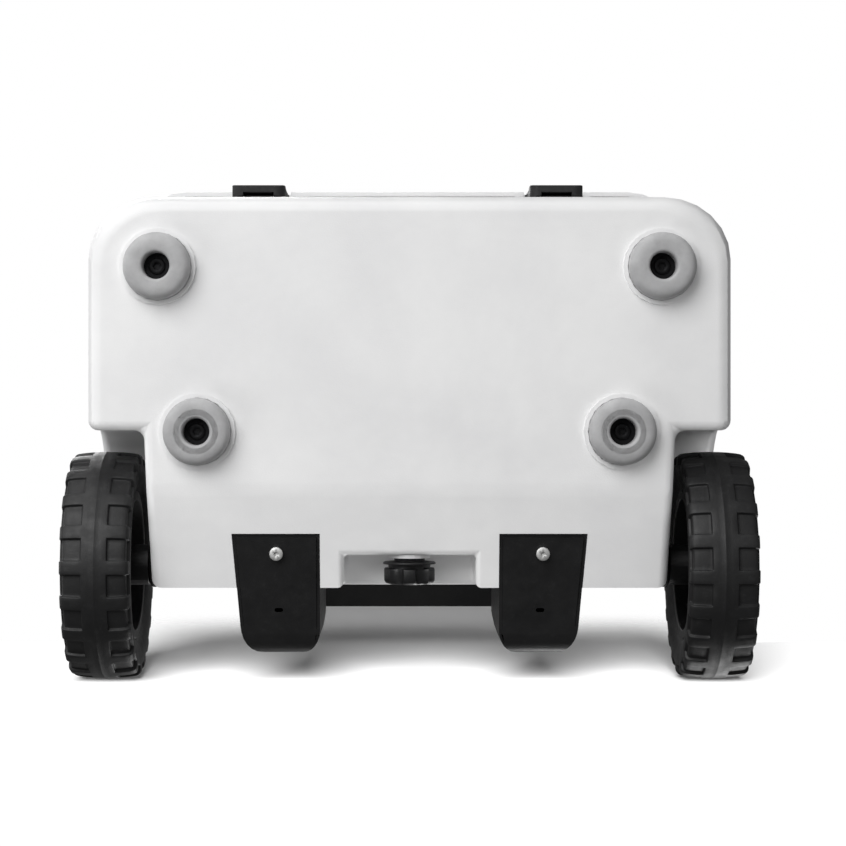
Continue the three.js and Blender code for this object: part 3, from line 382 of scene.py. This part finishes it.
def noiseNode(tree, where, scale, detail=3.0, rough=0.5):
    node = tree.nodes.new("ShaderNodeTexNoise")
    node.inputs["Scale"].default_value = scale
    node.inputs["Detail"].default_value = detail
    node.inputs["Roughness"].default_value = rough
    tree.links.new(where, node.inputs["Vector"])
    return node.outputs["Fac"]


def rangeNode(tree, value, spread, low, high):
    node = tree.nodes.new("ShaderNodeMapRange")
    node.inputs["From Min"].default_value = spread[0]
    node.inputs["From Max"].default_value = spread[1]
    node.inputs["To Min"].default_value = low
    node.inputs["To Max"].default_value = high
    tree.links.new(value, node.inputs["Value"])
    return node.outputs["Result"]


def mixColour(tree, factor, first, second):
    node = tree.nodes.new("ShaderNodeMix")
    node.data_type = "RGBA"
    for socket, value in ((node.inputs[6], first), (node.inputs[7], second)):
        if isinstance(value, tuple):
            socket.default_value = (*value, 1)
        else:
            tree.links.new(value, socket)
    tree.links.new(factor, node.inputs[0])
    return node.outputs[2]


def bumpNode(tree, height, depth, before=None):
    node = tree.nodes.new("ShaderNodeBump")
    node.inputs["Strength"].default_value = 1.0
    node.inputs["Distance"].default_value = depth
    tree.links.new(height, node.inputs["Height"])
    if before is not None:
        tree.links.new(before, node.inputs["Normal"])
    return node.outputs["Normal"]


def startMaterial(name):
    mat = bpy.data.materials.new(name)
    mat.use_nodes = True
    tree = mat.node_tree
    shader = tree.nodes["Principled BSDF"]
    where = tree.nodes.new("ShaderNodeTexCoord").outputs["Object"]
    return mat, tree, shader, where


def mouldedFinish(name, s):
    # plastic, rubber or foam: mottled colour, uneven gloss, fine grain and a slow ripple
    mat, tree, shader, where = startMaterial(name)
    patch = noiseNode(tree, where, s["patch"], 5.0, 0.6)
    colour = mixColour(tree, rangeNode(tree, patch, noiseSpread, 0, 1), s["dark"], s["light"])
    if s["dust"]:
        specks = noiseNode(tree, where, s["patch"] * 4, 6.0, 0.75)
        dust = rangeNode(tree, specks, dustSpread, 0, s["dust"])
        pale = tuple(0.05 + 0.8 * c for c in s["light"])
        colour = mixColour(tree, dust, colour, pale)
    tree.links.new(colour, shader.inputs["Base Color"])
    gloss = noiseNode(tree, where, s["patch"] * 3, 4.0, 0.6)
    tree.links.new(rangeNode(tree, gloss, glossSpread, *s["rough"]), shader.inputs["Roughness"])
    ripple = bumpNode(tree, noiseNode(tree, where, s["wave"], 2.0), s["waveDepth"])
    grain = bumpNode(tree, noiseNode(tree, where, s["grain"], 2.0), s["grainDepth"], ripple)
    tree.links.new(grain, shader.inputs["Normal"])
    return mat


def metalFinish(name, s):
    # metal: fine lines along z where it is drawn, and slow blotches of shade
    mat, tree, shader, where = startMaterial(name)
    turn = tree.nodes.new("ShaderNodeMapping")
    turn.inputs["Scale"].default_value = (1, 1, s["stretch"])
    tree.links.new(where, turn.inputs["Vector"])
    lines = noiseNode(tree, turn.outputs["Vector"], s["grain"], 3.0, 0.6)
    blotch = noiseNode(tree, where, s["blotch"], 4.0, 0.6)
    darker = tuple(c * 0.85 for c in s["colour"])
    colour = mixColour(tree, rangeNode(tree, blotch, noiseSpread, 0, 1), darker, s["colour"])
    tree.links.new(colour, shader.inputs["Base Color"])
    shader.inputs["Metallic"].default_value = 1.0
    tree.links.new(rangeNode(tree, lines, glossSpread, *s["rough"]), shader.inputs["Roughness"])
    tree.links.new(bumpNode(tree, lines, s["grainDepth"]), shader.inputs["Normal"])
    return mat


looks = {name: mouldedFinish(name, s) for name, s in finishes.items()}
looks.update({name: metalFinish(name, s) for name, s in metals.items()})
for name, obj in nodes.items():
    obj.data.materials.clear()
    obj.data.materials.append(looks[slotOf[name]])
print("finishes made:", len(looks))


# helpers for the pieces
def finishPiece(bm, name, node, smooth=32, recalc=True, look=None):
    # the piece rides with its node's body, in the node's slot and in its place
    bmesh.ops.remove_doubles(bm, verts=bm.verts, dist=mergeGap)
    if recalc:
        bmesh.ops.recalc_face_normals(bm, faces=bm.faces)
    mesh = bpy.data.meshes.new(name)
    bm.to_mesh(mesh)
    bm.free()
    for face in mesh.polygons:
        face.use_smooth = True
    mesh.set_sharp_from_angle(angle=math.radians(smooth))
    piece = bpy.data.objects.new(name, mesh)
    mesh.materials.append(looks[look or slotOf[node]])
    bpy.context.scene.collection.objects.link(piece)
    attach(piece, bodyOf[node])
    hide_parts(node)
    return piece


def softEdges(piece, width, segments=3):
    mod = piece.modifiers.new("softEdges", "BEVEL")
    mod.width = width * mm
    mod.segments = segments
    mod.limit_method = "ANGLE"
    mod.angle_limit = math.radians(32)
    mod.use_clamp_overlap = True
    mod.miter_outer = "MITER_ARC"
    even = piece.modifiers.new("evenNormals", "WEIGHTED_NORMAL")
    even.keep_sharp = True
    return piece


def mergedCopy(node):
    # the node's own shape with its loose triangles merged into flat faces
    bm = bmesh.new()
    bm.from_mesh(nodes[node].data)
    bmesh.ops.remove_doubles(bm, verts=bm.verts, dist=mergeGap)
    bmesh.ops.dissolve_limit(bm, angle_limit=flatAngle, verts=bm.verts, edges=bm.edges,
                             use_dissolve_boundaries=False)
    return bm


def softCopy(node, name, width, segments=3):
    piece = finishPiece(mergedCopy(node), name, node, recalc=False)
    softEdges(piece, width, segments)


def turnedShape(profile, steps, axis="x"):
    # an outline of (radius, along) in millimetres, closed on itself or by the axis, turned about it
    bm = bmesh.new()
    verts = [bm.verts.new((along * mm, radius * mm, 0)) for radius, along in profile]
    edges = [bm.edges.new(pair) for pair in zip(verts, verts[1:])]
    if profile[0][0] or profile[-1][0]:
        edges.append(bm.edges.new((verts[-1], verts[0])))
    bmesh.ops.spin(bm, geom=verts + edges, cent=(0, 0, 0), axis=(1, 0, 0), dvec=(0, 0, 0),
                   angle=2 * math.pi, steps=steps, use_merge=True, use_duplicate=False)
    bmesh.ops.remove_doubles(bm, verts=bm.verts, dist=fineGap)
    bmesh.ops.dissolve_degenerate(bm, edges=bm.edges, dist=fineGap)
    bmesh.ops.recalc_face_normals(bm, faces=bm.faces)
    turn = {"x": Matrix.Identity(4), "y": Matrix.Rotation(math.pi / 2, 4, "Z"),
            "z": Matrix.Rotation(-math.pi / 2, 4, "Y")}[axis]
    bmesh.ops.transform(bm, matrix=turn, verts=bm.verts)
    return bm


def shift(bm, place):
    bmesh.ops.translate(bm, verts=bm.verts, vec=place)


@functools.cache
def middle(node):
    low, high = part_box(node)
    return (low + high) / 2


# tyres: a smooth crown between two rows of sunken windows that run out over the shoulders
tyreSet = {
    "pitches": 20,
    "stepsPerPitch": 8,
    "windowSteps": 5,
    "windowFrom": 10.4,
    "windowDepth": 2.5,
    "windowSlope": 0.5,
    "lowestWindow": 84.5,
    "sharpAngle": 38,
    "edge": 0.65,
    "phase": {"left": 1.5, "right": 6.1},
    "half": [
        (62.4, 22.0), (66.0, 25.2), (72.0, 27.3), (78.0, 28.2), (84.0, 28.25), (88.6, 28.2), (90.6, 27.7),
        (92.0, 26.6), (92.9, 24.8), (93.5, 21.5), (94.0, 17.0), (94.3, 13.6), (94.5, 10.3), (94.65, 5.0),
        (94.7, 0.7), (95.0, 0.0),
    ],
}


def makeTyre(side, s):
    node = "tyre_" + side
    outline = s["half"] + [(r, -a) for r, a in reversed(s["half"][:-1])]
    steps = s["pitches"] * s["stepsPerPitch"]
    bm = turnedShape(outline, steps)
    windows = []
    stepAngle = 2 * math.pi / steps
    for face in bm.faces:
        c = face.calc_center_median()
        radius, along = math.hypot(c.y, c.z) / mm, abs(c.x) / mm
        if radius < s["lowestWindow"] or along < s["windowFrom"]:
            continue
        turn = int(math.floor((math.atan2(c.z, c.y) % (2 * math.pi)) / stepAngle))
        if turn % s["stepsPerPitch"] < s["windowSteps"]:
            windows.append(face)
    bmesh.ops.inset_region(bm, faces=windows, thickness=s["windowSlope"] * mm, depth=-s["windowDepth"] * mm,
                           use_even_offset=True, use_boundary=True)
    bmesh.ops.recalc_face_normals(bm, faces=bm.faces)
    sharpAngle = math.radians(s["sharpAngle"])
    sharp = [e for e in bm.edges if len(e.link_faces) == 2 and e.calc_face_angle(0) > sharpAngle]
    bmesh.ops.bevel(bm, geom=sharp, offset=s["edge"] * mm, offset_type="OFFSET", segments=2, profile=0.5,
                    affect="EDGES", clamp_overlap=True, material=-1)
    turned = Matrix.Rotation(math.radians(s["phase"][side]), 3, "X")
    bmesh.ops.rotate(bm, verts=bm.verts, cent=(0, 0, 0), matrix=turned)
    shift(bm, middle(node))
    finishPiece(bm, "tread_" + side, node, smooth=40)


for side in sides:
    makeTyre(side, tyreSet)
print("tyres made")


# body: the moulded shell, with wide soft corners at the wells and the drain notch, fine ones elsewhere
shellSet = {
    "wellEdge": 8.0,
    "notchEdge": 4.5,
    "notchHalf": 70,
    "steep": 52,
    "wideSegments": 5,
    "shortest": 2.0,
    "creaseEdge": 7.0,
    "creaseY": 65.0,
    "creaseNear": 0.7,
    "creaseBelow": 19,
    "fineEdge": 1.1,
    "lowest": 215,
    "footZone": 36,
    "bootZone": (70, 148, 96),
    "boreZone": 22,
    "boreFront": 100,
}


def nearFoot(x, y, s):
    for name in ("foot_front_right", "foot_rear_right"):
        c = middle(name)
        if math.hypot(abs(x) - c.x / mm, y - c.y / mm) < s["footZone"]:
            return True
    return False


def isWide(point, s):
    # true where the shell's corners are large and nothing small is near
    x, y, z = (c / mm for c in point)
    low, high, front = s["bootZone"]
    if z > s["lowest"] or nearFoot(x, y, s):
        return False
    if low < abs(x) < high and y > front:
        return False
    bore = middle("drain_bushing")
    if math.hypot(x - bore.x / mm, z - bore.z / mm) < s["boreZone"] and y > s["boreFront"]:
        return False
    hub = middle("axle_right")
    return math.hypot(y - hub.y / mm, z - hub.z / mm) > s["boreZone"]


def wideEdges(bm, s, inNotch):
    steep = math.radians(s["steep"])
    notch = s["notchHalf"] * mm
    return [e for e in bm.edges if len(e.link_faces) == 2 and abs(e.calc_face_angle(0)) > steep
            and all(isWide(v.co, s) and (abs(v.co.x) < notch) == inNotch for v in e.verts)]


def isCrease(edge, s):
    # across the underside, where its flat part meets the slope to the rear
    return all(abs(v.co.y / mm - s["creaseY"]) < s["creaseNear"] and v.co.z / mm < s["creaseBelow"]
               for v in edge.verts)


def makeShell(s):
    bm = mergedCopy("outer_shell")
    for inNotch, width in ((False, s["wellEdge"]), (True, s["notchEdge"])):
        # a short edge in the chain would pinch the round, so it goes first
        short = [e for e in wideEdges(bm, s, inNotch) if e.calc_length() < s["shortest"] * mm]
        bmesh.ops.collapse(bm, edges=short)
        bmesh.ops.bevel(bm, geom=wideEdges(bm, s, inNotch), offset=width * mm, offset_type="OFFSET",
                        segments=s["wideSegments"], profile=0.5, affect="EDGES", clamp_overlap=False,
                        material=-1)
    crease = [e for e in bm.edges if isCrease(e, s)]
    bmesh.ops.bevel(bm, geom=crease, offset=s["creaseEdge"] * mm, offset_type="OFFSET", segments=4,
                    profile=0.5, affect="EDGES", clamp_overlap=True, material=-1)
    shell = finishPiece(bm, "moulded_shell", "outer_shell", smooth=48, recalc=False)
    return softEdges(shell, s["fineEdge"], 2)


makeBounce(makeShell(shellSet))
softCopy("liner", "moulded_liner", 1.2, 2)
softCopy("lid_outer", "moulded_lid", 1.4, 3)
softCopy("lid_inner", "lid_lining", 1.2, 2)
softCopy("handle_housing", "handle_bracket", 1.0, 3)
softCopy("handle_grip", "pull_grip", 1.6, 3)
softCopy("release_button", "grip_button", 1.2, 3)
for side in sides:
    softCopy("latch_" + side, "rubber_latch_" + side, 1.0, 3)
    softCopy("keeper_" + side, "latch_keeper_" + side, 0.5, 2)
    softCopy("hinge_block_" + side, "body_hinge_" + side, 0.8, 2)
    softCopy("lid_hinge_block_" + side, "lid_hinge_" + side, 0.8, 2)
    softCopy("wheel_hub_" + side, "spoked_hub_" + side, 0.9, 2)
    softCopy("hub_cap_" + side, "centre_cap_" + side, 0.6, 2)
    for tube in ("outer", "middle", "inner"):
        softCopy(tube + "_tube_" + side, tube + "_pole_" + side, 0.3, 2)
print("shell, lid and handle made")


# boots: a narrow sunken rim runs round the plate under each tube
bootSet = {
    "rim": 2.4,
    "rise": 0.6,
    "sunk": 3.2,
    "backFrom": 181,
    "backStretch": 1.34,
    "facesDown": 0.9,
    "highest": 60,
    "clearOfHoles": 9.5,
    "edge": 0.7,
}


def makeBoot(side, s):
    node = "handle_boot_" + side
    bm = mergedCopy(node)
    back = s["backFrom"] * mm
    for v in bm.verts:
        if v.co.y > back:
            v.co.y = back + (v.co.y - back) * s["backStretch"]
    plate = [f for f in bm.faces if f.normal.z < -s["facesDown"]
             and f.calc_center_median().z < s["highest"] * mm]
    screw = middle("boot_screw_" + side)
    rim = bmesh.ops.inset_region(bm, faces=plate, thickness=s["rim"] * mm, depth=0, use_even_offset=True,
                                 use_boundary=True)["faces"]
    bmesh.ops.inset_region(bm, faces=plate, thickness=s["rise"] * mm, depth=0, use_even_offset=True,
                           use_boundary=True)
    slotY = middle("outer_tube_" + side).y
    clear = s["clearOfHoles"] * mm
    sunk = {v for f in rim for v in f.verts if v.co.y < slotY
            and all(math.hypot(v.co.x - screw.x, v.co.y - y) > clear for y in (screw.y, slotY))}
    bmesh.ops.translate(bm, verts=list(sunk), vec=(0, 0, s["sunk"] * mm))
    piece = finishPiece(bm, "tube_boot_" + side, node, recalc=False)
    softEdges(piece, s["edge"], 2)


for side in sides:
    makeBoot(side, bootSet)


# feet: soft rubber pads with a coned hole, and the screw down it, coloured near black as painted shade for
# the deep hole
footSet = {
    "pad": [
        (27.0, 17.7), (27.1, 12), (27.1, 8.0), (26.9, 5.6), (26.1, 3.5), (24.7, 1.8), (22.6, 0.65),
        (20.0, 0.12), (18.0, 0.0), (13.4, 0.0), (12.4, 0.25), (11.5, 0.9), (11.0, 2.0), (10.8, 4.0),
        (10.8, 14.6), (3.4, 14.8), (3.4, 17.7),
    ],
    "screw": [
        (0.0, 13.9), (2.6, 13.7), (2.9, 12.2), (3.3, 11.8), (5.4, 11.6), (6.4, 12.1), (6.8, 12.9),
        (6.8, 13.6), (10.4, 13.6), (10.55, 13.8), (10.55, 14.4), (3.0, 14.5), (3.0, 32.0), (0.0, 33.5),
    ],
    "socket": 3.1,
}


def hexSocket(bm, radius):
    # the round socket's wall is drawn in to six flats about z; its floor and the head stay round
    reach = radius * mm
    nearest = 0.75 * reach
    for v in bm.verts:
        out = math.hypot(v.co.x, v.co.y)
        if nearest < out < reach:
            turn = math.atan2(v.co.y, v.co.x) % (math.pi / 3) - math.pi / 6
            scale = math.cos(math.pi / 6) / math.cos(turn)
            v.co.x *= scale
            v.co.y *= scale


def makeFoot(where, s):
    centre = middle("foot_" + where)
    bm = turnedShape(s["pad"], 72, "z")
    shift(bm, (centre.x, centre.y, 0))
    finishPiece(bm, "rubber_foot_" + where, "foot_" + where, smooth=50)
    bm = turnedShape(s["screw"], 36, "z")
    hexSocket(bm, s["socket"])
    shift(bm, (centre.x, centre.y, 0))
    # the screw's near-black finish is painted shade for the hole in the foot
    finishPiece(bm, "pad_screw_" + where, "foot_screw_" + where, smooth=35, look="painted_shade_screw")


for end in ("front", "rear"):
    for side in sides:
        makeFoot(end + "_" + side, footSet)
print("feet made")


# flat pan-head screws in the boots, measured down from the face of the head
bootScrewSet = {
    "outline": [
        (0.0, 1.9), (1.5, 1.8), (1.7, 0.3), (1.95, 0.0), (4.7, 0.0), (5.35, 0.35), (5.6, 1.1), (5.6, 2.7),
        (2.3, 2.9), (2.3, 14.0), (0.0, 15.4),
    ],
    "socket": 1.9,
    "inset": 0.05,
}


def makeBootScrew(side, s):
    node = "boot_screw_" + side
    centre = middle(node)
    bm = turnedShape(s["outline"], 36, "z")
    hexSocket(bm, s["socket"])
    shift(bm, (centre.x, centre.y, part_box(node)[0].z + s["inset"] * mm))
    finishPiece(bm, "pan_screw_" + side, node, smooth=35, look="pale_screw")


# a small round plate behind each wheel
plateSet = {
    "outline": [(6.4, 4.7), (6.4, 0.3), (15.5, 0.3), (18.0, 0.9), (18.8, 2.2), (18.8, 4.7)],
    "steps": 48,
}


def makeAxlePlate(side, sign, s):
    node = "axle_plate_" + side
    low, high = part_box(node)
    outer = low.x if sign < 0 else high.x
    bm = turnedShape([(r, -sign * a) for r, a in s["outline"]], s["steps"])
    centre = middle(node)
    shift(bm, (outer, centre.y, centre.z))
    finishPiece(bm, "round_plate_" + side, node, smooth=35)


for side, sign in sides.items():
    makeBootScrew(side, bootScrewSet)
    makeAxlePlate(side, sign, plateSet)


# drain plug: a thin flange, then a fluted, domed head, measured from the plug's outer end
plugSet = {
    "outline": [
        (0.0, 39.2), (8.4, 39.2), (9.2, 38.2), (9.2, 19.6), (12.8, 19.4), (20.6, 19.2), (21.4, 18.7),
        (21.6, 18.0), (21.4, 17.4), (17.4, 17.0), (17.2, 14.6), (18.4, 14.2), (20.8, 13.9), (21.5, 13.4),
        (21.7, 12.6), (21.7, 5.0), (21.2, 3.4), (19.6, 1.9), (16.0, 0.9), (9.0, 0.3), (0.0, 0.1),
    ],
    "steps": 144,
    "flutes": 6,
    "fluteDepth": 4.2,
    "fluteWidth": 0.27,
    "fluteFrom": 14.4,
    "fluteRadius": 17.3,
}


def makePlug(s):
    node = "drain_plug"
    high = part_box(node)[1]
    centre = middle(node)
    bm = turnedShape([(r, -a) for r, a in s["outline"]], s["steps"], "y")
    for v in bm.verts:
        out = math.hypot(v.co.x, v.co.z) / mm
        if out < s["fluteRadius"] or -v.co.y / mm > s["fluteFrom"]:
            continue
        # across one pitch: 0 is the middle of a groove, and a lobe points straight down
        turn = (math.atan2(v.co.z, v.co.x) * s["flutes"] / (2 * math.pi) + 0.5) % 1 - 0.5
        dip = max(0, 1 - (turn / s["fluteWidth"]) ** 2) ** 0.5
        scale = max(out - s["fluteDepth"] * dip, s["fluteRadius"]) / out
        v.co.x *= scale
        v.co.z *= scale
    shift(bm, (centre.x, high.y, centre.z))
    finishPiece(bm, "fluted_plug", node, smooth=40)


makePlug(plugSet)
print("screws, plates and plug made")
